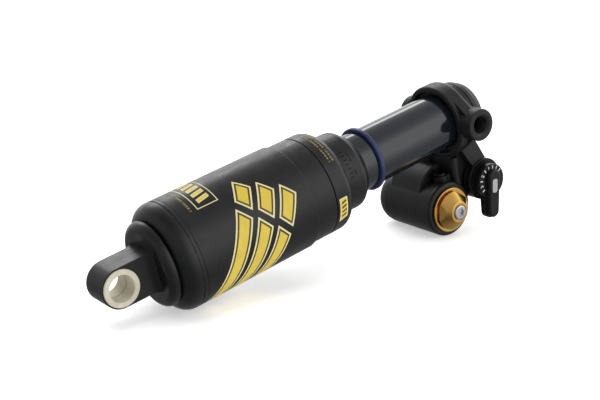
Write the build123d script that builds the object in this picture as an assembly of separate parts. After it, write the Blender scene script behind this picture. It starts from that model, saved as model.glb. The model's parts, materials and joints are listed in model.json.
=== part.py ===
from build123d import *
import os
from math import asin, atan2, cos, degrees, hypot, pi, radians, sin

# Rear air shock absorber of a mountain bicycle: eyelet on the sliding air can at one end, two threaded
# trunnion bosses on the fixed head at the other, and a reservoir across the head's underside.
#
# Everything is modelled in the shock's own frame, in millimetres: X runs along the shaft from the eyelet
# bore's centre to the trunnions, Y along the eyelet bore, Z up. The finished pieces are then leaned about the
# eyelet's axis, so that the end cap's shoulder and the reservoir both rest on the ground.
# A section's corner is (distance along its axis, radius) or (distance, radius, corner rounding).

# ---- driving dimensions ----
EYE_TO_TRUNNION = 205.0
STROKE = 57.5
FIT = 0.05               # radial clearance of a large running fit
ROD_FIT = 0.03           # radial clearance of a rod or shaft in its seal and bush

EYE_BORE_R = 6.35
EYE_BUSH_R = 7.54
EYE_R = 9.7
EYE_HALF = 7.5           # half the eyelet's width
TONGUE_FLARE_R = 6.0     # the tongue's concave flare into the hub
FLANGE_R = 8.85
FLANGE_T = 1.0

HUB_X0, HUB_X1, HUB_R = 17.4, 22.0, 21.0
HUB_ROUNDING = 3.8
SHOULDER_X0 = 22.9       # shoulder's start, behind a narrow groove in the hub
SHOULDER_R = 7.0         # rounding of the end cap's shoulder
CAP_END_X = 33.0

CAN_R = 26.6
CAN_BORE_R = 24.0
CAN_THREAD_R = 25.2
CAN_STEP_X, CAN_STEP_R = 96.5, 25.7
CAN_END_X = 108.6

SEAL_RING_X0, SEAL_RING_X1 = 109.0, 120.5
NECK_R, NECK_END_X = 20.2, 136.0
NECK_BEVEL_X = 132.0     # start of the long bevel at the neck's end

TUBE_R, TUBE_BORE_R = 15.0, 13.5
INNER_TUBE_R, INNER_BORE_R = 12.5, 11.0
ROD_X0, ROD_R, ROD_TIP_R = 20.6, 5.0, 4.0

PISTON_X0, PISTON_X1 = 90.0, 99.0      # air piston's flange
SPIGOT_END_X = 105.5                   # end of its spigot in the damper tube
STACK_X = 109.0                        # step of the rod that carries the main piston

TRAVEL_RING_X, TRAVEL_RING_SECTION = 146.4, 2.6

HEAD_X0, HEAD_X1 = 197.0, 207.8
HEAD_R = 19.9
RECESS_R, RECESS_X = 17.4, 199.8
TUBE_END_X = 206.0
TRUNNION_R, TRUNNION_HALF = 8.4, 27.0
TRUNNION_EYE_Y, TRUNNION_EYE_R = 19.3, 7.4   # round ends of the eye-shaped plate
TRUNNION_HOLE_R, TRUNNION_DEPTH = 4.46, 10.4

RES_X, RES_Z, RES_R = 189.2, -45.4, 14.8
RES_FRONT_Y, RES_REAR_Y, RES_CAP_END_Y = -9.4, 27.0, 35.2
RES_BORE_R, RES_CARTRIDGE_R = 12.5, 11.0

VALVE_X, VALVE_Z = 215.0, -37.9        # axis of the compression valves
LOW_Y0, LOW_Y1, LOW_R = 9.4, 15.4, 6.6            # low-speed knob behind the valves
VALVE_BOSS_R = 11.3
LEVER_LEAN = 12.0                     # the lever's own angle from straight down, degrees
LEVER_REACH = 16.5

AIR_VALVE_X = 88.7
AIR_VALVE_TILT = 32.0                  # the valve points down and this far to the rear, degrees

# ---- the lean that rests the shoulder and the reservoir on the ground ----
SHOULDER_AT = (SHOULDER_X0 + SHOULDER_R, -(CAN_R - SHOULDER_R))
SPAN_X, SPAN_Z = RES_X - SHOULDER_AT[0], RES_Z - SHOULDER_AT[1]
LEAN = degrees(asin((RES_R - SHOULDER_R) / hypot(SPAN_X, SPAN_Z)) - atan2(SPAN_Z, SPAN_X))

# Which way a turned piece's axis points: "x" forwards, "y" away, "-y" to the front, "down".
TURNS = {"x": (0, 0, 0), "y": (0, 0, 90), "-y": (0, 0, -90), "down": (0, 90, 0)}

parts = {}


def lathe(section, axis="x", at=(0, 0, 0)):
    """A turned solid from half its section, with its axis through the point at."""
    face = make_face(Polyline(*[corner[:2] for corner in section], close=True))
    for corner in section:
        if len(corner) == 3:
            vertex = face.vertices().sort_by_distance((corner[0], corner[1], 0))[0]
            face = fillet(vertex, corner[2])
    return Pos(*at) * Rot(*TURNS[axis]) * revolve(face, Axis.X)


def ring(start, end, outer, inner, axis="x", at=(0, 0, 0), rounding=0.0):
    """A plain ring or, with inner 0, a plain round bar."""
    outside = [(start, outer), (end, outer)]
    if rounding:
        outside = [(*corner, rounding) for corner in outside]
    return lathe([(start, inner), *outside, (end, inner)], axis, at)


def o_ring(along, major, minor, axis="x", at=(0, 0, 0)):
    """An O-ring whose plane is square to the axis."""
    return Pos(*at) * Rot(*TURNS[axis]) * Pos(along, 0, 0) * Rot(0, 90, 0) * Torus(major, minor)


def round_array(tool, count, axis="x", at=(0, 0, 0), start=0.0):
    """Copies of a tool that is placed about the X axis, spaced evenly and turned onto the axis."""
    place = Pos(*at) * Rot(*TURNS[axis])
    return [place * Rot(start + 360 / count * step, 0, 0) * tool for step in range(count)]


def drill(radius, start, end, off=(0, 0)):
    """A round bar along X, centred off the axis by off, for holes and ports."""
    bar = Cylinder(radius, end - start, align=(Align.CENTER, Align.CENTER, Align.MIN))
    return Pos(start, *off) * Rot(0, 90, 0) * bar


def slab(outline, low, high):
    """An outline drawn as (x, z), made solid from Y = low to Y = high."""
    return Pos(0, high, 0) * extrude(Plane.XZ * outline, high - low)


def hull(*circles):
    """The outline that a tight band round the circles makes; each circle is (x, y, radius)."""
    return make_hull([edge for x, y, radius in circles for edge in (Pos(x, y) * Circle(radius)).edges()])


def star(radius, depth_from, depth_to, axis, at):
    """A six-lobed driver recess: round lobes on the corners of a hexagon, round a core."""
    lobes = round_array(drill(radius * 0.3, depth_from, depth_to, (radius * 0.72, 0)), 6, axis, at)
    core = Pos(*at) * Rot(*TURNS[axis]) * drill(radius * 0.74, depth_from, depth_to)
    return [core, *lobes]


# ---- eyelet end: the cap, its bush and the air can ----
def eyelet_cap():
    """Hub and shoulder turned, with the eyelet's tongue milled from the hub's face."""
    groove = 30.5
    foot = CAN_R - SHOULDER_R
    turned = lathe([
        (HUB_X0, 0), (HUB_X0, HUB_R, HUB_ROUNDING), (HUB_X1, HUB_R, 0.9), (SHOULDER_X0, foot),
        (SHOULDER_X0, CAN_R, SHOULDER_R - 0.01),
        (groove, CAN_R), (groove, CAN_R - 0.35), (groove + 0.6, CAN_R - 0.35), (groove + 0.6, CAN_R),
        (CAP_END_X, CAN_R, 0.25), (CAP_END_X, CAN_THREAD_R), (28.0, CAN_THREAD_R), (28.0, 12.5),
        (26.0, 12.5), (26.0, ROD_R), (ROD_X0, ROD_R), (ROD_X0, 0)])
    flare = HUB_X0 + 0.8 - TONGUE_FLARE_R
    root = HUB_X0 + 3
    wide = EYE_HALF + TONGUE_FLARE_R
    plan = make_face([
        Line((-EYE_R, -EYE_HALF), (-EYE_R, EYE_HALF)),
        Line((-EYE_R, EYE_HALF), (flare, EYE_HALF)),
        CenterArc((flare, wide), TONGUE_FLARE_R, -90, 90),
        Line((flare + TONGUE_FLARE_R, wide), (root, wide)),
        Line((root, wide), (root, -wide)),
        Line((root, -wide), (flare + TONGUE_FLARE_R, -wide)),
        CenterArc((flare, -wide), TONGUE_FLARE_R, 0, 90),
        Line((flare, -EYE_HALF), (-EYE_R, -EYE_HALF))])
    side = Circle(EYE_R) + Pos(root / 2, 0) * Rectangle(root, 2 * EYE_R)
    tongue = extrude(plan, 2 * EYE_R, both=True) & slab(side, -2 * EYE_R, 2 * EYE_R)
    return turned + tongue - ring(-30, 30, EYE_BUSH_R, 0, "y")


parts["eyelet_cap"] = eyelet_cap()
for name, axis in (("eyelet_bush_front", "-y"), ("eyelet_bush_rear", "y")):
    parts[name] = lathe([
        (0.05, EYE_BORE_R), (0.05, EYE_BUSH_R), (EYE_HALF, EYE_BUSH_R), (EYE_HALF, FLANGE_R),
        (EYE_HALF + FLANGE_T, FLANGE_R, 0.4), (EYE_HALF + FLANGE_T, EYE_BORE_R, 0.3)], axis)


AIR_VALVE_AT = (AIR_VALVE_X, 0, 0)
TILT = Rot(AIR_VALVE_TILT, 0, 0)


def air_can():
    """The can's tube, with a flat-bottomed boss under it for the air valve."""
    tube = lathe([
        (29.5, CAN_BORE_R), (29.5, CAN_THREAD_R), (CAP_END_X, CAN_THREAD_R), (CAP_END_X, CAN_R, 0.25),
        (CAN_STEP_X, CAN_R, 0.4), (CAN_STEP_X, CAN_STEP_R), (CAN_END_X, CAN_STEP_R, 0.3),
        (CAN_END_X, CAN_BORE_R)])
    boss = ring(CAN_BORE_R + 1.2, CAN_R + 1.2, 5.6, 0, "down", AIR_VALVE_AT, 0.6)
    pocket = ring(CAN_BORE_R + 0.9, CAN_R + 5, 3.9, 0, "down", AIR_VALVE_AT)
    port = ring(CAN_BORE_R - 2, CAN_R, 1.2, 0, "down", AIR_VALVE_AT)
    return tube + TILT * boss - TILT * pocket - TILT * port


parts["air_can"] = air_can()
parts["can_oring"] = o_ring(28.8, CAN_BORE_R + 0.6, 0.55)
parts["bottom_out_bumper"] = ring(26.0, 31.5, 12.0, ROD_R, rounding=1.2)

# ---- the damper rod and the main piston on its end ----
PISTON_STACK = {"shims": 1.6, "piston": 8.0, "nut": 4.0}
PISTON_AT = STACK_X + PISTON_STACK["shims"]
REBOUND_SHIMS_AT = PISTON_AT + PISTON_STACK["piston"]
NUT_AT = REBOUND_SHIMS_AT + PISTON_STACK["shims"]
ROD_END_X = NUT_AT + PISTON_STACK["nut"] + 1.3
BAND_X0, BAND_X1 = PISTON_AT + 2.0, PISTON_AT + 6.0

parts["damper_rod"] = lathe([
    (ROD_X0, 0), (ROD_X0, ROD_R), (STACK_X, ROD_R), (STACK_X, ROD_TIP_R), (ROD_END_X, ROD_TIP_R, 0.5),
    (ROD_END_X, 0)])
parts["top_out_bumper"] = ring(STACK_X - 3, STACK_X, 8.5, ROD_R, rounding=0.8)


def shim_stack(start, step):
    """Four thin discs that get smaller away from the piston, as one pack."""
    radii = (9.2, 8.4, 7.6, 6.8)
    order = radii if step > 0 else radii[::-1]
    thickness = PISTON_STACK["shims"] / len(radii)
    corners = []
    for index, radius in enumerate(order):
        corners += [(start + index * thickness, radius), (start + (index + 1) * thickness, radius)]
    return lathe([(start, ROD_TIP_R), *corners, (start + PISTON_STACK["shims"], ROD_TIP_R)])


def main_piston():
    """The piston's body, with a groove for its glide band and two rings of slanting-face ports."""
    outer = INNER_BORE_R - 0.15
    body = lathe([
        (PISTON_AT, ROD_TIP_R), (PISTON_AT, outer, 0.4), (BAND_X0, outer), (BAND_X0, outer - 1),
        (BAND_X1, outer - 1), (BAND_X1, outer), (REBOUND_SHIMS_AT, outer, 0.4), (REBOUND_SHIMS_AT, ROD_TIP_R)])
    ports = round_array(drill(1.1, PISTON_AT - 1, REBOUND_SHIMS_AT + 1, (7.4, 0)), 8)
    return body - ports


parts["compression_shims"] = shim_stack(STACK_X, -1)
parts["main_piston"] = main_piston()
parts["main_piston_band"] = ring(BAND_X0, BAND_X1, INNER_BORE_R - FIT, INNER_BORE_R - 1.15)
parts["rebound_shims"] = shim_stack(REBOUND_SHIMS_AT, 1)
parts["piston_nut"] = (
    Pos(NUT_AT, 0, 0) * Rot(0, 90, 0) * extrude(RegularPolygon(5.8, 6), PISTON_STACK["nut"])
    - drill(ROD_TIP_R, NUT_AT - 1, ROD_END_X + 1))

# ---- the seal head at the can's open end ----
BUSH_X0, BUSH_X1, BUSH_R = 111.0, 122.0, 16.8
SEAL_X0, SEAL_X1, SEAL_R = 124.6, 128.4, 18.0
WIPER_X0, WIPER_R = 131.6, 16.6
HEAD_RING_X = 102.7
SEAL_BORE_R = TUBE_R + 0.3

parts["seal_head"] = lathe([
    (100.5, CAN_BORE_R), (HEAD_RING_X - 1.2, CAN_BORE_R), (HEAD_RING_X - 1.2, CAN_BORE_R - 1.8),
    (HEAD_RING_X + 1.2, CAN_BORE_R - 1.8), (HEAD_RING_X + 1.2, CAN_BORE_R), (SEAL_RING_X0, CAN_BORE_R),
    (SEAL_RING_X0, CAN_STEP_R, 0.3), (SEAL_RING_X1, CAN_STEP_R, 5.0), (SEAL_RING_X1, NECK_R, 0.4),
    (NECK_BEVEL_X, NECK_R, 3.0), (NECK_END_X, WIPER_R + 0.5), (NECK_END_X, WIPER_R), (WIPER_X0, WIPER_R),
    (WIPER_X0, SEAL_BORE_R),
    (SEAL_X1, SEAL_BORE_R), (SEAL_X1, SEAL_R), (SEAL_X0, SEAL_R), (SEAL_X0, SEAL_BORE_R),
    (BUSH_X1, SEAL_BORE_R), (BUSH_X1, BUSH_R), (BUSH_X0, BUSH_R), (BUSH_X0, SEAL_BORE_R),
    (100.5, SEAL_BORE_R)])
parts["seal_head_oring"] = o_ring(HEAD_RING_X, CAN_BORE_R - 0.9, 0.88)
parts["guide_bush"] = ring(BUSH_X0, BUSH_X1, BUSH_R, TUBE_R + ROD_FIT)
parts["shaft_seal"] = lathe([
    (SEAL_X0, TUBE_R + ROD_FIT), (SEAL_X0, SEAL_R), (SEAL_X1, SEAL_R), (SEAL_X1, TUBE_R + ROD_FIT),
    (SEAL_X1 - 1, TUBE_R + 0.9), (SEAL_X0 + 1, TUBE_R + 0.9)])
parts["shaft_wiper"] = lathe([
    (WIPER_X0, TUBE_R + ROD_FIT), (WIPER_X0, WIPER_R), (NECK_END_X, WIPER_R), (NECK_END_X + 0.5, TUBE_R + 0.9),
    (NECK_END_X + 0.5, TUBE_R + ROD_FIT)])

# ---- the air valve under the can ----
VALVE_MOUTH = CAN_R + 5.0
parts["air_valve_body"] = TILT * lathe([
    (CAN_BORE_R + 0.9, 1.4), (CAN_BORE_R + 0.9, 3.9), (VALVE_MOUTH, 3.9, 0.4), (VALVE_MOUTH, 2.2),
    (VALVE_MOUTH - 2, 2.2), (VALVE_MOUTH - 2, 1.0), (VALVE_MOUTH - 3, 1.0), (VALVE_MOUTH - 3, 1.4)],
    "down", AIR_VALVE_AT)
parts["air_valve_pin"] = TILT * lathe([
    (VALVE_MOUTH - 4.9, 0), (VALVE_MOUTH - 4.9, 1.25, 0.2), (VALVE_MOUTH - 4.1, 1.25),
    (VALVE_MOUTH - 4.1, 0.9), (VALVE_MOUTH - 0.6, 0.9, 0.3), (VALVE_MOUTH - 0.6, 0)], "down", AIR_VALVE_AT)


def valve_cap():
    """A small turned cap with twelve grip flutes."""
    start = CAN_R + 1.5
    shell = lathe([
        (start, 3.96), (start, 4.9, 0.3), (VALVE_MOUTH + 1.5, 4.9, 1.2), (VALVE_MOUTH + 1.5, 0),
        (VALVE_MOUTH + 0.4, 0), (VALVE_MOUTH + 0.4, 3.96)], "down", AIR_VALVE_AT)
    flute = drill(0.45, start + 0.9, VALVE_MOUTH + 0.2, (5.1, 0))
    return TILT * (shell - round_array(flute, 12, "down", AIR_VALVE_AT))


parts["valve_cap"] = valve_cap()

# ---- travel ring ----
parts["travel_ring"] = ring(
    TRAVEL_RING_X - TRAVEL_RING_SECTION / 2, TRAVEL_RING_X + TRAVEL_RING_SECTION / 2,
    TUBE_R + ROD_FIT + 1.75, TUBE_R + ROD_FIT, rounding=0.8)

# ---- damper tube, air piston and rod seals, fixed to the head ----
parts["damper_tube"] = ring(PISTON_X1, TUBE_END_X, TUBE_R, TUBE_BORE_R)
parts["inner_tube"] = ring(SPIGOT_END_X, 199.5, INNER_TUBE_R, INNER_BORE_R)
QUAD_X0, QUAD_X1, QUAD_ROOT_R = 91.1, 93.7, 21.4
GLIDE_X0, GLIDE_X1, GLIDE_ROOT_R = 95.1, 97.9, 23.0
RUN_R = CAN_BORE_R - 0.1
ROD_POCKET_R = 6.5

parts["air_piston"] = lathe([
    (PISTON_X0, 13.0), (PISTON_X0, RUN_R, 0.6), (QUAD_X0, RUN_R), (QUAD_X0, QUAD_ROOT_R),
    (QUAD_X1, QUAD_ROOT_R), (QUAD_X1, RUN_R), (GLIDE_X0, RUN_R), (GLIDE_X0, GLIDE_ROOT_R),
    (GLIDE_X1, GLIDE_ROOT_R), (GLIDE_X1, RUN_R), (PISTON_X1, RUN_R, 0.5), (PISTON_X1, TUBE_BORE_R),
    (SPIGOT_END_X, TUBE_BORE_R), (SPIGOT_END_X, ROD_POCKET_R), (94.0, ROD_POCKET_R), (94.0, 13.0)])
parts["air_piston_seal"] = ring(QUAD_X0, QUAD_X1, CAN_BORE_R - FIT, QUAD_ROOT_R, rounding=0.5)
parts["air_piston_band"] = ring(GLIDE_X0, GLIDE_X1, CAN_BORE_R - FIT, GLIDE_ROOT_R)
ROD_SEALS = (("rod_wiper", 94.0, 96.4), ("rod_bush", 96.4, 102.0), ("rod_seal", 102.0, SPIGOT_END_X))
for name, start, end in ROD_SEALS:
    parts[name] = ring(start, end, ROD_POCKET_R, ROD_R + ROD_FIT)
parts["base_valve"] = lathe([
    (195.5, 0), (195.5, INNER_BORE_R), (199.5, INNER_BORE_R), (199.5, TUBE_BORE_R), (204.0, TUBE_BORE_R),
    (204.0, 0)]) - round_array(drill(1.3, 195, 205, (6.4, 0)), 6)
TUBE_RING_X = 201.6
parts["tube_oring"] = o_ring(TUBE_RING_X, TUBE_R + 0.6, 0.58)


# ---- head casting ----
BLEED_X, BLEED_Y, BLEED_SEAT_Z = 192.6, -2.0, 28.2   # bleed screw, and its seat below the shaft
BLEED_AT = (BLEED_X, BLEED_Y, 0)
DOME_R, DOME_TIP_R, DOME_X = 17.0, 14.0, 219.5
DOME_GROOVE_X = 211.0
PLATE_X0, UPPER_PLATE_X0 = 203.0, 199.5
WEB_FRONT_Y, WEB_REAR_Y, UPPER_WEB_FRONT_Y = -2.0, 9.0, -11.0
HOUSING_X, HOUSING_Z, HOUSING_R = 194.0, -37.7, 14.3    # top of the reservoir's housing
HOUSING_Y0, HOUSING_Y1 = 1.9, 26.5
GUSSET_X, GUSSET_Z, GUSSET_REAR_Y = 195.0, -19.0, 22.0


def across(outline, start, end):
    """An outline drawn as (y, z), made solid from X = start to X = end."""
    return extrude(Plane(origin=(start, 0, 0), x_dir=(0, 1, 0), z_dir=(1, 0, 0)) * outline, end - start)


def trunnion_plate():
    """Round collar, and behind it the eye-shaped plate whose edges run tangent to both bosses."""
    collar = ring(HEAD_X0, HEAD_X1, HEAD_R, 0)
    eye = hull((0, 0, HEAD_R), (-TRUNNION_EYE_Y, 0, TRUNNION_EYE_R), (TRUNNION_EYE_Y, 0, TRUNNION_EYE_R))
    upper = eye & Pos(0, HEAD_R + 2) * Rectangle(4 * HEAD_R, 2 * HEAD_R)
    plate = across(eye, PLATE_X0, HEAD_X1) + across(upper, UPPER_PLATE_X0, HEAD_X1) + collar
    plate = fillet(plate.faces().sort_by(Axis.X)[-1].edges(), 3.4)
    return fillet(plate.faces().sort_by(Axis.X)[0].edges(), 1.0)


def head_casting():
    """Plate, trunnion bosses, rear dome, web to the compression valves and saddle on the reservoir."""
    body = trunnion_plate()
    body += ring(-TRUNNION_HALF, TRUNNION_HALF, TRUNNION_R, 0, "y", (EYE_TO_TRUNNION, 0, 0), 0.8)
    body += lathe([
        (EYE_TO_TRUNNION, 0), (EYE_TO_TRUNNION, DOME_R), (DOME_GROOVE_X, DOME_R),
        (DOME_GROOVE_X, DOME_R - 0.7), (DOME_GROOVE_X + 0.7, DOME_R - 0.7),
        (DOME_GROOVE_X + 0.7, DOME_R - 0.1), (DOME_X - 5.5, DOME_R - 0.4), (DOME_X, DOME_TIP_R, 4.0),
        (DOME_X, 0)])
    body += slab(hull((208, -4, 6.5), (VALVE_X + 0.6, VALVE_Z + 1.5, 8.2)), WEB_FRONT_Y, WEB_REAR_Y)
    body += slab(hull((203.4, -5, 5.5), (214.4, -29, 4.6)), UPPER_WEB_FRONT_Y, 0)
    body += ring(WEB_FRONT_Y, WEB_REAR_Y, VALVE_BOSS_R - 0.6, 0, "y", (VALVE_X, 0, VALVE_Z), 0.6)
    saddle = make_face(Polyline((197.2, -14), (211, -14), (211, -34), (206.5, -46), (197.2, -42), close=True))
    body += slab(saddle, -6, 8.4)
    body += Pos(199.8, -6, -32) * Cylinder(2.6, 24)
    body += ring(BLEED_SEAT_Z, BLEED_SEAT_Z + 6, 4.2, 0, "down", BLEED_AT)
    body += Pos(197, BLEED_Y, -BLEED_SEAT_Z - 3) * Box(8, 6, 5)
    gusset = Polyline((GUSSET_X, GUSSET_Z), (204, GUSSET_Z), (204, -36), (GUSSET_X, -36), close=True)
    body += slab(make_face(gusset), 8, GUSSET_REAR_Y)
    housing = hull((RES_X, RES_Z, RES_R - 0.8), (HOUSING_X, HOUSING_Z, HOUSING_R))
    body += fillet(slab(housing, HOUSING_Y0, HOUSING_Y1).faces().sort_by(Axis.Y)[-1].edges(), 2.5)
    body -= drill(RECESS_R, HEAD_X0 - 5, RECESS_X)
    body -= drill(TUBE_R, HEAD_X0 - 5, TUBE_END_X)
    body -= ring(TUBE_RING_X - 0.7, TUBE_RING_X + 0.7, TUBE_R + 1.2, TUBE_R - 1)
    body -= drill(TUBE_BORE_R - 2, HEAD_X0 - 5, TUBE_END_X + 3)
    floor_y = TRUNNION_HALF - TRUNNION_DEPTH
    for axis in ("-y", "y"):
        body -= lathe([
            (floor_y - 0.9, 0), (floor_y - 0.9, 1.2), (floor_y, TRUNNION_HOLE_R),
            (TRUNNION_HALF - 1.0, TRUNNION_HOLE_R), (TRUNNION_HALF + 0.1, TRUNNION_HOLE_R + 1.3),
            (TRUNNION_HALF + 0.1, 0)], axis, (EYE_TO_TRUNNION, 0, 0))
    body -= ring(-30, 60, RES_R, 0, "y", (RES_X, 0, RES_Z))
    body -= ring(WEB_REAR_Y, 40, LOW_R + 1.4, 0, "y", (VALVE_X, 0, VALVE_Z))
    body -= ring(-14, WEB_FRONT_Y, VALVE_BOSS_R + 0.3, 0, "y", (VALVE_X, 0, VALVE_Z))
    body -= ring(-12, 6, 8.0, 0, "y", (VALVE_X, 0, VALVE_Z))
    body -= ring(6, 12, 3.2, 0, "y", (VALVE_X, 0, VALVE_Z))
    body -= ring(BLEED_SEAT_Z - 1, BLEED_SEAT_Z + 2.5, 2.0, 0, "down", BLEED_AT)
    body -= ring(BLEED_SEAT_Z - 4, BLEED_SEAT_Z, 4.3, 0, "down", BLEED_AT)
    return body


parts["head_casting"] = head_casting()
parts["bleed_screw"] = lathe([
    (BLEED_SEAT_Z - 1.6, 0), (BLEED_SEAT_Z - 1.6, 3.4, 0.6), (BLEED_SEAT_Z, 3.4), (BLEED_SEAT_Z, 2.0),
    (BLEED_SEAT_Z + 2.5, 2.0), (BLEED_SEAT_Z + 2.5, 0)], "down", BLEED_AT) - (
    Pos(BLEED_X, BLEED_Y, 1 - BLEED_SEAT_Z) * extrude(RegularPolygon(1.44, 6), 2))

# ---- reservoir ----
RES_AT = (RES_X, 0, RES_Z)
CLIP_Y0, CLIP_Y1, CLIP_R = 25.0, 26.2, 13.3
PLUG_Y, PLUG_RING_Y = 22.0, 23.7         # the cap's plug and the middle of its O-ring
parts["reservoir_body"] = lathe([
    (RES_FRONT_Y, RES_CARTRIDGE_R), (RES_FRONT_Y, RES_R, 1.7), (RES_REAR_Y, RES_R), (RES_REAR_Y, RES_BORE_R),
    (CLIP_Y1, RES_BORE_R), (CLIP_Y1, CLIP_R), (CLIP_Y0, CLIP_R), (CLIP_Y0, RES_BORE_R), (1.0, RES_BORE_R),
    (1.0, RES_CARTRIDGE_R)], "y", RES_AT)
parts["reservoir_rear_cap"] = lathe([
    (PLUG_Y, 0), (PLUG_Y, RES_BORE_R), (PLUG_RING_Y - 0.9, RES_BORE_R), (PLUG_RING_Y - 0.9, RES_BORE_R - 1.4),
    (PLUG_RING_Y + 0.9, RES_BORE_R - 1.4), (PLUG_RING_Y + 0.9, RES_BORE_R), (RES_REAR_Y, RES_BORE_R),
    (RES_REAR_Y, RES_R), (RES_CAP_END_Y, RES_R - 1.2, 7.2),
    (RES_CAP_END_Y, 5.2), (33.0, 5.2), (33.0, 2.5), (28.0, 2.5), (28.0, 0)], "y", RES_AT)
parts["reservoir_cap_oring"] = o_ring(PLUG_RING_Y, RES_BORE_R - 0.7, 0.68, "y", RES_AT)
parts["reservoir_clip"] = ring(CLIP_Y0, CLIP_Y1, CLIP_R, RES_BORE_R, "y", RES_AT)
parts["gas_fill_screw"] = lathe([
    (28.0, 0), (28.0, 2.5), (33.0, 2.5), (33.0, 4.6), (35.2, 4.6, 0.8), (35.2, 0)], "y", RES_AT) - star(
    2.2, 33.6, 36, "y", RES_AT)
FLOAT_Y0, FLOAT_Y1 = 4.0, 12.0
parts["floating_piston"] = lathe([
    (FLOAT_Y0, 0), (FLOAT_Y0, RES_BORE_R - 0.08, 0.5), (7.0, RES_BORE_R - 0.08), (7.0, RES_BORE_R - 1.5),
    (9.0, RES_BORE_R - 1.5), (9.0, RES_BORE_R - 0.08), (FLOAT_Y1, RES_BORE_R - 0.08), (FLOAT_Y1, 8.5),
    (7.0, 7.0), (7.0, 0)], "y", RES_AT)
parts["floating_piston_oring"] = o_ring(8.0, RES_BORE_R - FIT - 0.72, 0.72, "y", RES_AT)

# ---- rebound adjuster in the reservoir's front end ----
KNOB_Y = 9.7                             # all distances here run towards the front, along -Y
CONE_Y, KNOB_TOP_Y = 12.0, 17.4
KNOB_R = 12.05
NEEDLE_R = 3.0
DETENT_R = 1.3                           # bore for the click ball and its spring
DETENT_AT = (RES_X + 7.5, 0, RES_Z)
parts["rebound_cartridge"] = lathe([
    (-1.0, NEEDLE_R + FIT), (-1.0, RES_CARTRIDGE_R), (-RES_FRONT_Y, RES_CARTRIDGE_R),
    (-RES_FRONT_Y, NEEDLE_R + FIT)], "-y", RES_AT) - (
    ring(4.4, -RES_FRONT_Y + 1, DETENT_R, 0, "-y", DETENT_AT))
parts["detent_spring"] = ring(4.4, 6.6, DETENT_R - 0.1, 0.7, "-y", DETENT_AT)
parts["detent_ball"] = Pos(*DETENT_AT) * Pos(0, -7.6, 0) * Sphere(1.0)
parts["rebound_needle"] = lathe([
    (-4.0, 0), (-4.0, 1.0), (-1.0, NEEDLE_R), (KNOB_Y, NEEDLE_R), (KNOB_Y, 0)], "-y", RES_AT)


def rebound_knob():
    """Thin rim, deep groove, and a cone with three milled finger flats."""
    body = lathe([
        (KNOB_Y, 0), (KNOB_Y, KNOB_R, 0.3), (KNOB_Y + 1.2, KNOB_R, 0.4), (KNOB_Y + 1.2, KNOB_R - 3.2),
        (CONE_Y, KNOB_R - 3.2), (CONE_Y, KNOB_R - 1.2, 0.3), (KNOB_TOP_Y, 5.6, 0.6),
        (KNOB_TOP_Y, 4.4), (KNOB_TOP_Y - 0.9, 4.4), (KNOB_TOP_Y - 0.9, 0)], "-y", RES_AT)
    low = CONE_Y - 0.3
    flat = slab(make_face(Polyline((low, 9.75), (low, 16), (19, 16), (19, 5.6), close=True)), -15, 15)
    return body - round_array(flat, 3, "-y", RES_AT, -45)


parts["rebound_knob"] = rebound_knob()
parts["rebound_screw"] = lathe([
    (KNOB_TOP_Y - 0.9, 0), (KNOB_TOP_Y - 0.9, 4.0), (KNOB_TOP_Y + 0.7, 4.0, 0.9), (KNOB_TOP_Y + 0.7, 0)],
    "-y", RES_AT) - star(2.3, KNOB_TOP_Y - 0.4, KNOB_TOP_Y + 2, "-y", RES_AT)

# ---- compression valves: lever to the front, low-speed knob to the rear ----
VALVE_AT = (VALVE_X, 0, VALVE_Z)
STEM_R = 2.5
DISC_Y0, DISC_Y1, DISC_R = 13.4, 17.0, 9.2


def compression_cartridge():
    """The screwed-in valve housing: three raised rings on a round collar."""
    collar = VALVE_BOSS_R - 1.2
    corners = [(2.0, 8.0), (2.0, collar)]
    for step in range(3):
        start = 2.6 + step * 3.4
        corners += [(start, collar), (start, VALVE_BOSS_R, 0.3)]
        corners += [(start + 2.2, VALVE_BOSS_R, 0.3), (start + 2.2, collar)]
    corners += [(12.9, collar), (12.9, STEM_R + FIT), (-5.8, STEM_R + FIT), (-5.8, 8.0)]
    return lathe(corners, "-y", VALVE_AT)


def compression_lever():
    """Disc with a raised finger bar that runs down past its edge into the lever's tip."""
    disc = ring(DISC_Y0, DISC_Y1, DISC_R, 0, "-y", VALVE_AT, 0.7)
    turn = Pos(VALVE_X, 0, VALVE_Z) * Rot(0, LEVER_LEAN, 0)
    blade = hull((0, 0, 6.0), (0, -LEVER_REACH, 4.2))
    bar = hull((0, 2.4, 4.0), (0, -LEVER_REACH, 3.6))
    blade_solid = slab(blade, -DISC_Y1 + 0.4, -DISC_Y0)
    bar_solid = slab(bar, -DISC_Y1 - 2.6, -DISC_Y0)
    bar_solid = fillet(bar_solid.faces().sort_by(Axis.Y)[0].edges(), 1.1)
    badge = Pos(0, -DISC_Y1 - 2.5, -2.4) * Box(3.7, 0.6, 7.7)
    return disc + turn * (blade_solid + bar_solid - badge)


parts["compression_cartridge"] = compression_cartridge()
parts["compression_lever"] = compression_lever()
BADGE = Pos(0, -DISC_Y1 - 2.4, -2.4) * Box(3.5, 0.4, 7.5)
LEVER_PLACE = Pos(VALVE_X, 0, VALVE_Z) * Rot(0, LEVER_LEAN, 0)
parts["lever_badge"] = LEVER_PLACE * fillet(BADGE.edges().filter_by(Axis.Y), 1.2)
parts["high_speed_needle"] = lathe([
    (-4.4, 0), (-4.4, 0.8), (-3.0, STEM_R), (DISC_Y0, STEM_R), (DISC_Y0, 0)], "-y", VALVE_AT)


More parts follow.
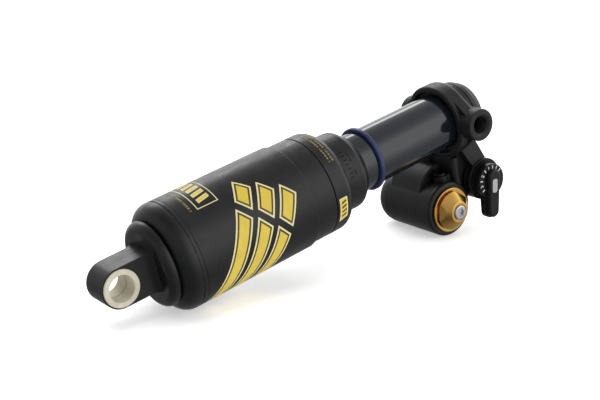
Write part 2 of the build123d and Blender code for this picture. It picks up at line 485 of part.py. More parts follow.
def low_speed_knob():
    """Small knob with twelve grip scallops."""
    body = lathe([
        (LOW_Y0, 0), (LOW_Y0, LOW_R + 0.6, 0.3), (LOW_Y0 + 1.4, LOW_R + 0.6, 0.3), (LOW_Y0 + 1.8, LOW_R),
        (LOW_Y1, LOW_R, 0.8), (LOW_Y1, 2.9), (LOW_Y1 - 1.2, 2.9), (LOW_Y1 - 1.2, 0)], "y", VALVE_AT)
    scallop = drill(1.0, LOW_Y0 + 1.8, LOW_Y1 + 1, (LOW_R + 0.5, 0))
    return body - round_array(scallop, 12, "y", VALVE_AT)


parts["low_speed_knob"] = low_speed_knob()
low_screw = lathe([
    (LOW_Y1 - 1.2, 0), (LOW_Y1 - 1.2, 2.7), (LOW_Y1 + 0.3, 2.7, 0.6), (LOW_Y1 + 0.3, 0)], "y", VALVE_AT)
parts["low_speed_screw"] = low_screw - star(1.5, LOW_Y1 - 0.6, LOW_Y1 + 2, "y", VALVE_AT)
parts["low_speed_needle"] = lathe([
    (6.6, 0), (6.6, 2.0), (7.6, 3.15), (LOW_Y0, 3.15), (LOW_Y0, 0)], "y", VALVE_AT)

# ---- lean the shock onto its resting points and write one file a piece ----
os.makedirs("parts", exist_ok=True)
for name, shape in parts.items():
    export_step(Rot(0, -LEAN, 0) * Part(shape.wrapped), f"parts/{name}.step")
print("lean", round(LEAN, 3), "degrees;", len(parts), "pieces")
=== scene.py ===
import json
from math import ceil, cos, hypot, pi, radians, sin

import bpy
import bmesh
from mathutils import Matrix, Vector


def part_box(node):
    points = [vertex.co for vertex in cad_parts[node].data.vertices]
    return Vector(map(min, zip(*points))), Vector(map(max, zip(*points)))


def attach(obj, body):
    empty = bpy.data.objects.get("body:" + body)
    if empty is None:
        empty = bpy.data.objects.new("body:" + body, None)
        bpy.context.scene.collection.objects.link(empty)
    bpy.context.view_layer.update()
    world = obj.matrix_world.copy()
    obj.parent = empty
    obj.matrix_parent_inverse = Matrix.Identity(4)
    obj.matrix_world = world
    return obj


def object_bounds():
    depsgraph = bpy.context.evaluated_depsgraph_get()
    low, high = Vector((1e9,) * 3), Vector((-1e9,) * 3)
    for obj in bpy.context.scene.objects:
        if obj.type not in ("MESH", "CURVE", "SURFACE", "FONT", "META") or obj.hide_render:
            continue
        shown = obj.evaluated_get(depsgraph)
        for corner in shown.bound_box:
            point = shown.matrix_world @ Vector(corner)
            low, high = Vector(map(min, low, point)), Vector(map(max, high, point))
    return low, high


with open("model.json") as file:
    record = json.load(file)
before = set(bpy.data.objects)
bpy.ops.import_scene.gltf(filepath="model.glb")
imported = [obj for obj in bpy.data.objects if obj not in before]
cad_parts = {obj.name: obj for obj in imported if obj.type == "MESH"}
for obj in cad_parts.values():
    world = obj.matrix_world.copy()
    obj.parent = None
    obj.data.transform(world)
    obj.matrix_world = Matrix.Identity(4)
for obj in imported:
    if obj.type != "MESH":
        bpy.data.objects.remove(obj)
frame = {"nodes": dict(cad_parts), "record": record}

CAD_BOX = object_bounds()
MM = 0.001
NODES = frame["nodes"]

# ---- the shock's own axes: along the shaft, away from the adjusters, and up, square to the shaft ----
STROKE_JOINT = next(j for j in frame["record"]["behaviour"]["joints"] if j["name"] == "shock_stroke")
ALONG = Vector(STROKE_JOINT["axis"]).normalized()
AWAY = Vector((0, 1, 0))
UP = ALONG.cross(AWAY)
SHOCK = Matrix((ALONG, AWAY, UP)).transposed()


def place(along, away, up):
    """A point given in millimetres on the shock's own axes, in the row frame."""
    return SHOCK @ Vector((along, away, up)) * MM


def extent(node):
    """Lowest and highest corner of a CAD node on the shock's own axes, in millimetres."""
    obj = NODES[node]
    turn = SHOCK.transposed()
    points = [turn @ (obj.matrix_world @ v.co) / MM for v in obj.data.vertices]
    return [min(p[i] for p in points) for i in range(3)], [max(p[i] for p in points) for i in range(3)]


def centre(node):
    low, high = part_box(node)
    return [(a + b) / 2 / MM for a, b in zip(low, high)]


# ---- materials ----
def new_material(name):
    mat = bpy.data.materials.new(name)
    mat.use_nodes = True
    nodes = mat.node_tree.nodes
    return mat, nodes, mat.node_tree.links, nodes["Principled BSDF"]


def noise(nodes, links, vector, scale, detail=4.0, rough=0.55):
    tex = nodes.new("ShaderNodeTexNoise")
    tex.inputs["Scale"].default_value = scale
    tex.inputs["Detail"].default_value = detail
    tex.inputs["Roughness"].default_value = rough
    links.new(vector, tex.inputs["Vector"])
    return tex.outputs["Fac"]


def spread(nodes, links, value, low, high, from_low=0.3, from_high=0.7):
    """Maps a texture's usual range onto low to high."""
    node = nodes.new("ShaderNodeMapRange")
    node.inputs["From Min"].default_value = from_low
    node.inputs["From Max"].default_value = from_high
    node.inputs["To Min"].default_value = low
    node.inputs["To Max"].default_value = high
    links.new(value, node.inputs["Value"])
    return node.outputs["Result"]


def mix_colour(nodes, links, factor, a, b):
    node = nodes.new("ShaderNodeMix")
    node.data_type = "RGBA"
    links.new(factor, node.inputs["Factor"])
    for socket, value in (("A", a), ("B", b)):
        target = [s for s in node.inputs if s.name == socket and s.type == "RGBA"][0]
        if isinstance(value, tuple):
            target.default_value = (*value, 1)
        else:
            links.new(value, target)
    return [s for s in node.outputs if s.type == "RGBA"][0]


def edge_mask(nodes, links, width):
    """1 on corners that hands and tools rub, 0 on open faces."""
    bevel = nodes.new("ShaderNodeBevel")
    bevel.samples = 6
    bevel.inputs["Radius"].default_value = width
    geometry = nodes.new("ShaderNodeNewGeometry")
    dot = nodes.new("ShaderNodeVectorMath")
    dot.operation = "DOT_PRODUCT"
    links.new(bevel.outputs["Normal"], dot.inputs[0])
    links.new(geometry.outputs["Normal"], dot.inputs[1])
    return spread(nodes, links, dot.outputs["Value"], 1.0, 0.0, 0.86, 0.995)


def surface(
        name, base, rough, metallic=0.0, vary=0.25, rough_vary=0.08, grain=1800.0, grain_depth=0.00001,
        turned=None, turned_depth=0.0, worn=None, wear=0.0, wear_width=0.0003, specular=0.5, blotch=60.0):
    """A finish with grain, patchy colour, uneven gloss and, where worn is a colour, rubbed edges.

    turned is the axis of a lathe-turned piece, in the row frame: fine tool lines then run round it."""
    mat, nodes, links, bsdf = new_material(name)
    coords = nodes.new("ShaderNodeTexCoord").outputs["Object"]
    patches = noise(nodes, links, coords, blotch, 3.0)
    fine = noise(nodes, links, coords, grain, 3.0, 0.6)
    dark = tuple(c * (1 - vary) for c in base)
    light = tuple(min(1.0, c * (1 + vary)) for c in base)
    colour = mix_colour(nodes, links, spread(nodes, links, patches, 0.0, 1.0), dark, light)
    speckle = tuple(min(1.0, c * (1 + 2 * vary) + 0.003) for c in base)
    colour = mix_colour(nodes, links, spread(nodes, links, fine, 0.0, 0.5, 0.52, 0.75), colour, speckle)
    if worn:
        mask = nodes.new("ShaderNodeMath")
        mask.operation = "MULTIPLY"
        links.new(edge_mask(nodes, links, wear_width), mask.inputs[0])
        rubbed = noise(nodes, links, coords, 420.0)
        links.new(spread(nodes, links, rubbed, 0.0, wear, 0.42, 0.66), mask.inputs[1])
        colour = mix_colour(nodes, links, mask.outputs[0], colour, worn)
    links.new(colour, bsdf.inputs["Base Color"])
    uneven = noise(nodes, links, coords, blotch * 4, 4.0)
    links.new(spread(nodes, links, uneven, rough - rough_vary, rough + rough_vary), bsdf.inputs["Roughness"])
    bump = nodes.new("ShaderNodeBump")
    bump.inputs["Distance"].default_value = grain_depth
    links.new(fine, bump.inputs["Height"])
    if turned:
        mapping = nodes.new("ShaderNodeMapping")
        mapping.vector_type = "TEXTURE"
        mapping.inputs["Rotation"].default_value = Vector((1, 0, 0)).rotation_difference(turned).to_euler()
        links.new(coords, mapping.inputs["Vector"])
        squeeze = nodes.new("ShaderNodeMapping")
        squeeze.inputs["Scale"].default_value = (1.0, 0.02, 0.02)
        links.new(mapping.outputs["Vector"], squeeze.inputs["Vector"])
        lines = noise(nodes, links, squeeze.outputs["Vector"], 5200.0, 2.0)
        second = nodes.new("ShaderNodeBump")
        second.inputs["Distance"].default_value = turned_depth
        links.new(lines, second.inputs["Height"])
        links.new(bump.outputs["Normal"], second.inputs["Normal"])
        bump = second
    links.new(bump.outputs["Normal"], bsdf.inputs["Normal"])
    bsdf.inputs["Metallic"].default_value = metallic
    bsdf.inputs["Specular IOR Level"].default_value = specular
    return mat


BARE = (0.36, 0.35, 0.33)         # bare aluminium where the black is rubbed off
SURFACES = {
    "can_black": dict(
        base=(0.0062, 0.0066, 0.0072), rough=0.33, grain=2600, grain_depth=0.000012, turned=ALONG,
        turned_depth=0.000004, worn=BARE, wear=0.22, wear_width=0.0002, specular=0.42),
    "casting_black": dict(
        base=(0.0075, 0.0077, 0.008), rough=0.42, grain=1700, grain_depth=0.00003, worn=BARE, wear=0.14,
        wear_width=0.00025, specular=0.38, blotch=90),
    "ring_black": dict(
        base=(0.0055, 0.0055, 0.006), rough=0.32, grain=2600, grain_depth=0.00001, worn=BARE, wear=0.16,
        wear_width=0.00015, specular=0.28),
    "shaft_black": dict(
        base=(0.006, 0.0082, 0.0125), rough=0.1, vary=0.15, rough_vary=0.03, grain=5200,
        grain_depth=0.000002, turned=ALONG, turned_depth=0.000002, specular=0.75),
    "gold": dict(
        base=(0.78, 0.47, 0.12), rough=0.27, metallic=1.0, vary=0.06, rough_vary=0.06, grain=3000,
        grain_depth=0.000006, turned=AWAY, turned_depth=0.000008, worn=(0.95, 0.8, 0.5), wear=0.5,
        wear_width=0.00015),
    "blue": dict(
        base=(0.03, 0.11, 0.5), rough=0.3, metallic=1.0, vary=0.08, rough_vary=0.06, grain=3000,
        grain_depth=0.000006, turned=AWAY, turned_depth=0.000006, worn=(0.5, 0.6, 0.8), wear=0.5,
        wear_width=0.00015),
    "navy_rubber": dict(
        base=(0.010, 0.019, 0.075), rough=0.4, vary=0.3, grain=2400, grain_depth=0.00002, specular=0.5),
    "black_rubber": dict(
        base=(0.008, 0.008, 0.008), rough=0.62, vary=0.3, grain=2200, grain_depth=0.00003, specular=0.35),
    "cream": dict(
        base=(0.54, 0.505, 0.39), rough=0.45, vary=0.1, grain=1500, grain_depth=0.00002, specular=0.4,
        blotch=180),
    "bearing": dict(
        base=(0.3, 0.24, 0.15), rough=0.5, vary=0.15, grain=1500, grain_depth=0.00002, specular=0.4),
    "aluminium": dict(
        base=(0.72, 0.73, 0.75), rough=0.32, metallic=1.0, vary=0.06, grain=2600, grain_depth=0.000006,
        turned=ALONG, turned_depth=0.000008),
    "steel": dict(
        base=(0.6, 0.61, 0.64), rough=0.3, metallic=1.0, vary=0.1, grain=2600, grain_depth=0.000006,
        turned=AWAY, turned_depth=0.000006, worn=(0.8, 0.8, 0.82), wear=0.3, wear_width=0.00015),
    "dark_steel": dict(
        base=(0.03, 0.03, 0.032), rough=0.34, metallic=1.0, vary=0.15, grain=2600, grain_depth=0.000008,
        worn=BARE, wear=0.5, wear_width=0.0002),
    "badge": dict(
        base=(0.62, 0.63, 0.65), rough=0.3, metallic=1.0, vary=0.08, grain=3200, grain_depth=0.000006),
    "brass": dict(
        base=(0.7, 0.62, 0.4), rough=0.32, metallic=1.0, vary=0.1, grain=2600, grain_depth=0.000006,
        turned=ALONG, turned_depth=0.000004),
    "cap_plastic": dict(
        base=(0.012, 0.012, 0.013), rough=0.5, vary=0.25, grain=1600, grain_depth=0.00003, specular=0.4),
    "print_yellow": dict(
        base=(0.60, 0.45, 0.05), rough=0.42, vary=0.06, grain=3400, grain_depth=0.000006, specular=0.4,
        blotch=200),
    "print_pale": dict(
        base=(0.66, 0.60, 0.32), rough=0.42, vary=0.05, grain=3400, grain_depth=0.000006, specular=0.4,
        blotch=200),
    "print_dark": dict(
        base=(0.075, 0.045, 0.006), rough=0.45, vary=0.1, grain=3400, grain_depth=0.000006, specular=0.4),
    "print_white": dict(
        base=(0.62, 0.63, 0.64), rough=0.45, vary=0.06, grain=3400, grain_depth=0.000006, specular=0.4),
    "print_grey": dict(
        base=(0.20, 0.16, 0.05), rough=0.45, vary=0.1, grain=3400, grain_depth=0.000006, specular=0.4),
    "engraved": dict(
        base=(0.004, 0.004, 0.0045), rough=0.6, vary=0.2, grain=3000, grain_depth=0.00001, specular=0.2),
}
MATERIALS = {name: surface(name, **values) for name, values in SURFACES.items()}

FINISH = {
    "can_black": ["air_can", "eyelet_cap", "seal_head"],
    "casting_black": ["head_casting", "reservoir_body", "reservoir_rear_cap"],
    "ring_black": ["compression_cartridge", "compression_lever"],
    "shaft_black": ["damper_tube"],
    "gold": ["rebound_knob"],
    "blue": ["low_speed_knob"],
    "navy_rubber": ["travel_ring"],
    "black_rubber": [
        "can_oring", "bottom_out_bumper", "top_out_bumper", "seal_head_oring", "shaft_seal", "shaft_wiper",
        "air_piston_seal", "rod_wiper", "rod_seal", "tube_oring", "reservoir_cap_oring",
        "floating_piston_oring"],
    "cream": ["eyelet_bush_front", "eyelet_bush_rear"],
    "bearing": ["guide_bush", "main_piston_band", "air_piston_band", "rod_bush"],
    "aluminium": [
        "air_piston", "main_piston", "floating_piston", "inner_tube", "base_valve", "rebound_cartridge"],
    "steel": [
        "damper_rod", "compression_shims", "rebound_shims", "piston_nut", "gas_fill_screw", "reservoir_clip",
        "rebound_screw", "rebound_needle", "detent_spring", "detent_ball", "high_speed_needle",
        "low_speed_screw", "low_speed_needle"],
    "dark_steel": ["bleed_screw"],
    "badge": ["lever_badge"],
    "brass": ["air_valve_body", "air_valve_pin"],
    "cap_plastic": ["valve_cap"],
}


SHARP_ANGLE = radians(28)         # corners over this stay sharp


def dress_nodes():
    """Every CAD node gets its finish and smooth shading that keeps its machined corners."""
    for finish, names in FINISH.items():
        for name in names:
            data = NODES[name].data
            data.materials.clear()
            data.materials.append(MATERIALS[finish])
            data.shade_smooth()
            data.set_sharp_from_angle(angle=SHARP_ANGLE)
            weigh = NODES[name].modifiers.new("weigh", "WEIGHTED_NORMAL")
            weigh.keep_sharp = True
    missed = set(NODES) - {name for names in FINISH.values() for name in names}
    assert not missed, missed


# ---- mesh building ----
def add_piece(name, verts, faces, finishes, body, indices=None, thickness=0.0):
    """A piece from row-frame points in metres. finishes are material names, indices one per face."""
    mesh = bpy.data.meshes.new(name)
    mesh.from_pydata(verts, [], faces)
    for finish in finishes:
        mesh.materials.append(MATERIALS[finish])
    if indices:
        for polygon, index in zip(mesh.polygons, indices):
            polygon.material_index = index
    work = bmesh.new()
    work.from_mesh(mesh)
    bmesh.ops.remove_doubles(work, verts=work.verts, dist=0.5e-6)
    work.to_mesh(mesh)
    work.free()
    obj = bpy.data.objects.new(name, mesh)
    bpy.context.scene.collection.objects.link(obj)
    if thickness:
        solid = obj.modifiers.new("thickness", "SOLIDIFY")
        solid.thickness = thickness
        solid.offset = 1.0
    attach(obj, body)
    return obj


PRINT_STEP = 1.2         # longest straight stretch in a print that bends round a turned part, mm
PRINT_LIFT = 0.015       # under side of a print above the metal
PRINT_THICK = 0.04


def patch(corners, count_u, count_v):
    """A four-cornered patch as a grid of 2-D points and faces."""
    (ax, ay), (bx, by), (cx, cy), (dx, dy) = corners
    points, faces = [], []
    for j in range(count_v + 1):
        v = j / count_v
        for i in range(count_u + 1):
            u = i / count_u
            points.append((
                (ax * (1 - u) + bx * u) * (1 - v) + (dx * (1 - u) + cx * u) * v,
                (ay * (1 - u) + by * u) * (1 - v) + (dy * (1 - u) + cy * u) * v))
    row = count_u + 1
    for j in range(count_v):
        for i in range(count_u):
            start = j * row + i
            faces.append((start, start + 1, start + row + 1, start + row))
    return points, faces


def inset(corners, width):
    """The four-cornered outline moved inwards by width along each side."""
    count = len(corners)
    result = []
    for k in range(count):
        before, here, after = corners[k - 1], corners[k], corners[(k + 1) % count]
        d1 = Vector((here[0] - before[0], here[1] - before[1])).normalized()
        d2 = Vector((after[0] - here[0], after[1] - here[1])).normalized()
        n1, n2 = Vector((-d1.y, d1.x)), Vector((-d2.y, d2.x))
        shift = (n1 + n2) * (width / (1 + n1.dot(n2)))
        result.append((here[0] + shift.x, here[1] + shift.y))
    return result


def bordered(corners, bands, fill):
    """Patches of a block: nested bands of (width, finish index) and then a fill, or None to leave it open."""
    def count(a, b):
        return max(1, ceil(hypot(b[0] - a[0], b[1] - a[1]) / PRINT_STEP))
    count_u = max(count(corners[0], corners[1]), count(corners[3], corners[2]))
    count_v = max(count(corners[1], corners[2]), count(corners[0], corners[3]))
    out = []
    outer = corners
    for width, finish in bands:
        inner = inset(outer, width)
        for k in range(4):
            nxt = (k + 1) % 4
            along = count_u if k % 2 == 0 else count_v
            out.append((patch([outer[k], outer[nxt], inner[nxt], inner[k]], along, 1), finish))
        outer = inner
    if fill is not None:
        out.append((patch(outer, count_u, count_v), fill))
    return out


def wrap(name, patches, radius, finishes, body):
    """Patches laid on a turned part, drawn as (along the shaft, distance round it from its front line)."""
    verts, faces, indices = [], [], []
    skin = radius + PRINT_LIFT
    for (points, quads), finish in patches:
        start = len(verts)
        for along, around in points:
            angle = around / radius
            verts.append(place(along, -skin * cos(angle), skin * sin(angle)))
        for quad in quads:
            faces.append(tuple(start + k for k in quad))
            indices.append(finish)
    return add_piece(name, verts, faces, finishes, body, indices, PRINT_THICK * MM)


def oblong(along, around, length, width):
    """One small four-cornered mark, square to the shaft, from its lowest corner."""
    far, top = along + length, around + width
    return patch([(along, around), (far, around), (far, top), (along, top)], 1, 1)


# ---- printed graphics: generic speed bars in place of lettering ----
BAR_LEAN = -28.0         # the print's reading line against the shaft, degrees
BAR_W, BAR_GAP = 8.4, 2.6
BAR_BANDS = [(0.8, 0), (0.9, 1)]
BAR_CUT = 0.42           # slope of the bars' cut ends
PRINT_FINISHES = ["print_pale", "print_dark", "print_yellow"]


def print_bars():
    """Three long bars round the can's front, each cut once, the cuts and ends stepped back bar by bar."""
    can_r = extent("air_can")[1][1]
    line = radians(BAR_LEAN)
    u, v = Vector((cos(line), sin(line))), Vector((-sin(line), cos(line)))
    start = Vector((36.6, -21.6))
    patches = []
    for k in range(3):
        left, right = k * (BAR_W + BAR_GAP), k * (BAR_W + BAR_GAP) + BAR_W
        long_part = (-7.0 + 1.6 * k, 44.5 - 3.0 * k)
        short_part = (48.0 - 3.0 * k, 60.0 - 1.0 * k)
        for low, high in (long_part, short_part):
            corners = []
            for across, along in ((left, low), (right, low), (right, high), (left, high)):
                skew = -BAR_CUT * (across - left)
                corners.append(tuple(start + u * across + v * (along + skew)))
            patches += bordered(corners, BAR_BANDS, 2)
    wrap("can_print_bars", patches, can_r, PRINT_FINISHES, "air_spring")


def print_labels():
    """The small bordered panel near the eyelet, and its row of fine print as plain dashes."""
    can_r = extent("air_can")[1][1]
    patches = bordered([(42.0, 25.4), (53.3, 25.4), (53.3, 50.5), (42.0, 50.5)], [(0.45, 0)], None)
    for k in range(5):
        low = 28.2 + 4.3 * k
        bar = [(44.6, low), (51.2, low + 1.4), (51.2, low + 4.0), (44.6, low + 2.6)]
        patches += bordered(bar, [(0.35, 0)], 1)
    wrap("can_print_panel", patches, can_r, ["print_pale", "print_yellow"], "air_spring")
    dashes = []
    for k in range(14):
        low = 26.0 + 1.55 * k
        wide = 1.05 if k % 4 else 0.55
        dashes.append((oblong(38.4, low, 1.1, wide), 0))
    wrap("can_fine_print", dashes, can_r, ["print_grey"], "air_spring")


def print_seal_head():
    """On the seal head's ring: two lines of dashes on top and a small panel of slanted marks at the front."""
    ring_r = extent("seal_head")[1][1]
    rows = []
    for line in range(2):
        for k in range(16):
            low = 17.5 + 1.6 * k
            at = 113.0 + 1.9 * line
            wide = 1.1 if (k + line) % 5 else 0.5
            rows.append((oblong(at, low, 0.9, wide), 0))
    wrap("ring_fine_print", rows, ring_r, ["print_grey"], "air_spring")
    panel = bordered([(110.4, -14.6), (115.0, -12.6), (115.0, -1.0), (110.4, -1.0)], [(0.45, 0)], 1)
    wrap("ring_print_panel", panel, ring_r, ["print_pale", "print_yellow"], "air_spring")
    marks = []
    for k in range(4):
        low = -11.8 + 2.5 * k
        mark = [(111.4, low), (114.2, low + 0.9), (114.2, low + 2.0), (111.4, low + 1.1)]
        marks.append((patch(mark, 2, 1), 0))
    over_panel = ring_r + PRINT_LIFT + PRINT_THICK
    wrap("ring_print_marks", marks, over_panel, ["print_dark"], "air_spring")


NECK_R = 20.2            # the seal head's neck, where the marks lie


def mark_neck():
    """Two rows of dark index marks on the seal head's neck."""
    marks = []
    for k in range(7):
        low = 3.0 + 2.3 * k
        marks.append((oblong(123.6, low, 2.0, 0.5), 0))
    for low in (4.0, 10.5, 14.0):
        marks.append((oblong(127.0, low, 0.5, 2.2), 0))
    wrap("neck_marks", marks, NECK_R, ["engraved"], "air_spring")


# ---- detail modelled in mesh ----
def thread(name, at, axis, crest_r, depth, length, pitch, body):
    """A helical ridge inside a threaded hole, from its mouth inwards along axis."""
    steps = 40
    side = Vector((0, 0, 1)) if abs(axis.z) < 0.5 else Vector((1, 0, 0))
    a = axis.cross(side).normalized()
    b = axis.cross(a)
    turns = length / pitch
    total = int(turns * steps)
    verts, faces = [], []
    for k in range(total + 1):
        angle = 2 * pi * k / steps
        run = k / steps * pitch
        fade = min(1.0, k / steps, (total - k) / steps)
        out = a * cos(angle) + b * sin(angle)
        for shift, radius in ((-0.42, crest_r), (0.0, crest_r - depth * fade), (0.42, crest_r)):
            verts.append((at + axis * (run + shift * pitch) + out * radius) * MM)
        if k:
            now, before = 3 * k, 3 * (k - 1)
            faces += [(before, before + 1, now + 1, now), (before + 1, before + 2, now + 2, now + 1)]
            faces.append((before + 2, before, now, now + 2))
    faces += [(0, 2, 1), (3 * total, 3 * total + 1, 3 * total + 2)]
    obj = add_piece(name, verts, faces, ["casting_black"], body)
    obj.data.shade_smooth()
    obj.data.set_sharp_from_angle(angle=SHARP_ANGLE)
    return obj


THREAD_PITCH, THREAD_DEPTH = 1.0, 0.24
THREAD_SHORT = 1.6       # how much of a trunnion hole's length stays plain


def trunnion_threads():
    for mount in frame["record"]["mounts"]:
        if mount["name"].startswith("trunnion"):
            out = Vector(mount["axis"])
            middle = Vector(mount["pos_m"]) / MM
            length = mount["dims"]["length_mm"] - THREAD_SHORT
            thread(mount["name"] + "_thread", middle + out * (length / 2 + 0.2), -out,
                   mount["dims"]["r_mm"] - 0.005, THREAD_DEPTH, length, THREAD_PITCH, "head")


def revolve_ring(name, at, axis, section, finish, body, steps=96):
    """A closed ring turned from a section of (along the axis, radius) corners, in millimetres."""
    side = Vector((0, 0, 1)) if abs(axis.z) < 0.5 else Vector((1, 0, 0))
    a = axis.cross(side).normalized()
    b = axis.cross(a)
    count = len(section)
    verts, faces = [], []
    for k in range(steps):
        angle = 2 * pi * k / steps
        out = a * cos(angle) + b * sin(angle)
        verts += [(at + axis * along + out * radius) * MM for along, radius in section]
        after = (k + 1) % steps
        for i in range(count):
            j = (i + 1) % count
            faces.append((k * count + i, k * count + j, after * count + j, after * count + i))
    obj = add_piece(name, verts, faces, [finish], body)
    obj.data.shade_smooth()
    obj.data.set_sharp_from_angle(angle=SHARP_ANGLE)
    return obj


def bush_seam():
    """The dark line where the two halves of the eyelet's bush meet, inside its bore."""
    bore = next(m["dims"]["r_mm"] for m in frame["record"]["mounts"] if m["name"] == "eyelet_bore")
    half, inner, outer = 0.14, bore - 0.015, bore + 0.02
    section = [(-half, outer), (-half, inner), (half, inner), (half, outer)]
    revolve_ring("bush_seam", Vector((0, 0, 0)), AWAY, section, "engraved", "air_spring")


DIAL = centre("high_speed_needle")
DIAL_FACE_Y = -17.0      # the lever's disc
DIGIT_R, DIGIT_SIZE = 7.35, 2.5
TICK_R, TICK_HALF_LENGTH, TICK_HALF_WIDTH = 7.5, 0.9, 0.3


def dial_digits():
    """White 1, 2, 3 and ticks between them, printed on the lever's disc."""
    face_y = DIAL_FACE_Y - PRINT_LIFT
    for text, angle in (("3", 196), ("2", 152), ("1", 108)):
        curve = bpy.data.curves.new("digit_" + text, "FONT")
        curve.body = text
        curve.size = DIGIT_SIZE * MM
        curve.align_x = "CENTER"
        curve.align_y = "CENTER"
        curve.extrude = 0.02 * MM
        curve.offset = 0.045 * MM
        curve.resolution_u = 4
        temp = bpy.data.objects.new("temp", curve)
        bpy.context.scene.collection.objects.link(temp)
        bpy.context.view_layer.update()
        mesh = bpy.data.meshes.new_from_object(temp)
        bpy.data.objects.remove(temp)
        turn = Matrix.Rotation(radians(angle - 90), 4, Vector((0, -1, 0))) @ Matrix.Rotation(pi / 2, 4, "X")
        out = Vector((cos(radians(angle)), 0, sin(radians(angle))))
        spot = Vector((DIAL[0], face_y - 0.02, DIAL[2])) + out * DIGIT_R
        mesh.transform(Matrix.Translation(spot * MM) @ turn)
        mesh.materials.clear()
        mesh.materials.append(MATERIALS["print_white"])
        obj = bpy.data.objects.new("dial_digit_" + text, mesh)
        bpy.context.scene.collection.objects.link(obj)
        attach(obj, "high_speed_adjuster")
    verts, faces = [], []
    for angle in (174, 130, 86, 64, 42, 218):
        a = radians(angle)
        out, across = Vector((cos(a), 0, sin(a))), Vector((-sin(a), 0, cos(a)))
        middle = Vector((DIAL[0], face_y, DIAL[2])) + out * TICK_R
        start = len(verts)
        for depth in (0.0, -PRINT_THICK):
            for i, j in ((-1, -1), (1, -1), (1, 1), (-1, 1)):
                corner = middle + out * (i * TICK_HALF_LENGTH) + across * (j * TICK_HALF_WIDTH)
                verts.append((corner + Vector((0, depth, 0))) * MM)
        for quad in ((0, 1, 2, 3), (7, 6, 5, 4), (0, 4, 5, 1), (1, 5, 6, 2), (2, 6, 7, 3), (3, 7, 4, 0)):
            faces.append(tuple(start + k for k in quad))
    add_piece("dial_ticks", verts, faces, ["print_white"], "high_speed_adjuster")


# ---- camera, floor and light ----
CAMERA_AT = Vector((-0.2089, -0.43854, 0.1775))
CAMERA_FORWARD = Vector((0.55615, 0.78051, -0.28549))
CAMERA_RIGHT = Vector((0.80624, -0.59005, -0.04254))
CAMERA_LENS = 68.81      # on a 36 mm wide sensor


def make_camera():
    """A 69 mm lens about half a metre away, a little above the shock and in front of the eyelet end."""
    data = bpy.data.cameras.new("camera")
    data.lens, data.sensor_width = CAMERA_LENS, 36.0
    data.clip_start = 0.01
    camera = bpy.data.objects.new("camera", data)
    bpy.context.scene.collection.objects.link(camera)
    forward = CAMERA_FORWARD.normalized()
    right = (CAMERA_RIGHT - forward * CAMERA_RIGHT.dot(forward)).normalized()
    up = right.cross(forward)
    turn = Matrix((right, up, -forward)).transposed().to_4x4()
    camera.matrix_world = Matrix.Translation(CAMERA_AT) @ turn
    bpy.context.scene.camera = camera


FLOOR_GLOW = 0.45        # the paper is lit from below, so that it stays white


def make_floor():
    """A wide pale sheet at the lowest point of the shock."""
    low = CAD_BOX[0][2]
    half = 4.0
    mesh = bpy.data.meshes.new("floor")
    corners = [(-half, -half, low), (half, -half, low), (half, half, low), (-half, half, low)]
    mesh.from_pydata(corners, [], [(0, 1, 2, 3)])
    floor = bpy.data.objects.new("floor", mesh)
    bpy.context.scene.collection.objects.link(floor)
    mat, nodes, links, bsdf = new_material("floor")
    coords = nodes.new("ShaderNodeTexCoord").outputs["Object"]
    soft = noise(nodes, links, coords, 40.0)
    share = spread(nodes, links, soft, 0.0, 1.0)
    colour = mix_colour(nodes, links, share, (0.93, 0.93, 0.93), (0.95, 0.95, 0.95))
    links.new(colour, bsdf.inputs["Base Color"])
    bsdf.inputs["Roughness"].default_value = 0.8
    bsdf.inputs["Specular IOR Level"].default_value = 0.0
    bsdf.inputs["Emission Color"].default_value = (1, 1, 1, 1)
    bsdf.inputs["Emission Strength"].default_value = FLOOR_GLOW
    floor.data.materials.append(mat)
    floor.visible_glossy = False


def area_light(name, at, target, size, power, glossy=True):
    data = bpy.data.lights.new(name, "AREA")
    data.shape = "RECTANGLE"
    data.size, data.size_y = size
    data.energy = power
    lamp = bpy.data.objects.new(name, data)
    bpy.context.scene.collection.objects.link(lamp)
    lamp.location = at
    lamp.rotation_euler = (Vector(target) - Vector(at)).to_track_quat("-Z", "Y").to_euler()
    lamp.visible_glossy = glossy


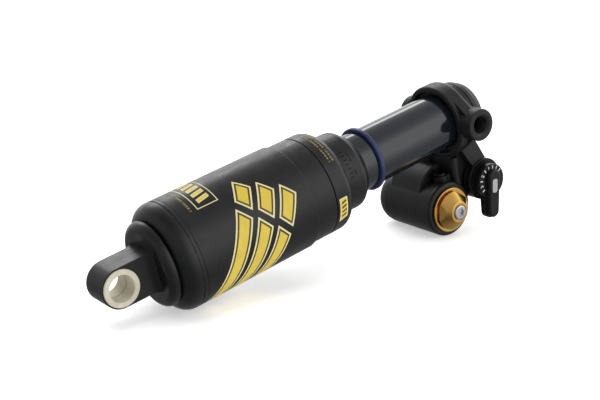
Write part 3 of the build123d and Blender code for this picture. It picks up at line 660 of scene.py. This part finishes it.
# Brightness of the studio against the sine of the angle above the horizon: pale walls, a dimmer ceiling,
# and dimmer still below the horizon.
STUDIO = [
    (-1.0, 0.25), (-0.55, 0.35), (-0.3, 0.6), (-0.1, 1.0), (0.1, 1.4), (0.6, 1.4), (0.76, 0.8), (0.9, 0.5),
    (1.0, 0.5)]


DARK_END = 0.3           # share of that brightness left at the eyelet's end of the room


def make_light():
    """The studio round the shock, a broad lamp above it and a long strip lamp behind it."""
    world = bpy.data.worlds.new("world")
    bpy.context.scene.world = world
    world.use_nodes = True
    nodes, links = world.node_tree.nodes, world.node_tree.links
    coords = nodes.new("ShaderNodeTexCoord").outputs["Generated"]
    split = nodes.new("ShaderNodeSeparateXYZ")
    links.new(coords, split.inputs[0])
    height = nodes.new("ShaderNodeMapRange")
    height.inputs["From Min"].default_value = -1.0
    links.new(split.outputs["Z"], height.inputs["Value"])
    ramp = nodes.new("ShaderNodeValToRGB")
    links.new(height.outputs["Result"], ramp.inputs["Fac"])
    stops = ramp.color_ramp.elements
    while len(stops) < len(STUDIO):
        stops.new(0.5)
    for stop, (height_sine, level) in zip(stops, STUDIO):
        stop.position = (height_sine + 1) / 2
        stop.color = (level / 2, level / 2, level / 2, 1)
    background = nodes["Background"]
    links.new(ramp.outputs["Color"], background.inputs[0])
    side = nodes.new("ShaderNodeMapRange")
    side.inputs["From Min"].default_value = -0.5
    side.inputs["From Max"].default_value = 0.15
    side.inputs["To Min"].default_value = 2.0 * DARK_END
    side.inputs["To Max"].default_value = 2.0
    links.new(split.outputs["X"], side.inputs["Value"])
    links.new(side.outputs["Result"], background.inputs["Strength"])
    middle = place(110, 0, 0)
    area_light("top", (0.1, 0.1, 1.1), middle, (1.4, 1.2), 9.0, glossy=False)
    behind = SHOCK @ Vector((0.485, 0.73, 0.48)) * 1.2
    area_light("behind", middle + behind, middle, (1.4, 0.22), 3.0)
    bpy.context.scene.view_settings.view_transform = "Standard"


dress_nodes()
print_bars()
print_labels()
print_seal_head()
mark_neck()
trunnion_threads()
bush_seam()
dial_digits()
make_camera()
make_floor()
make_light()
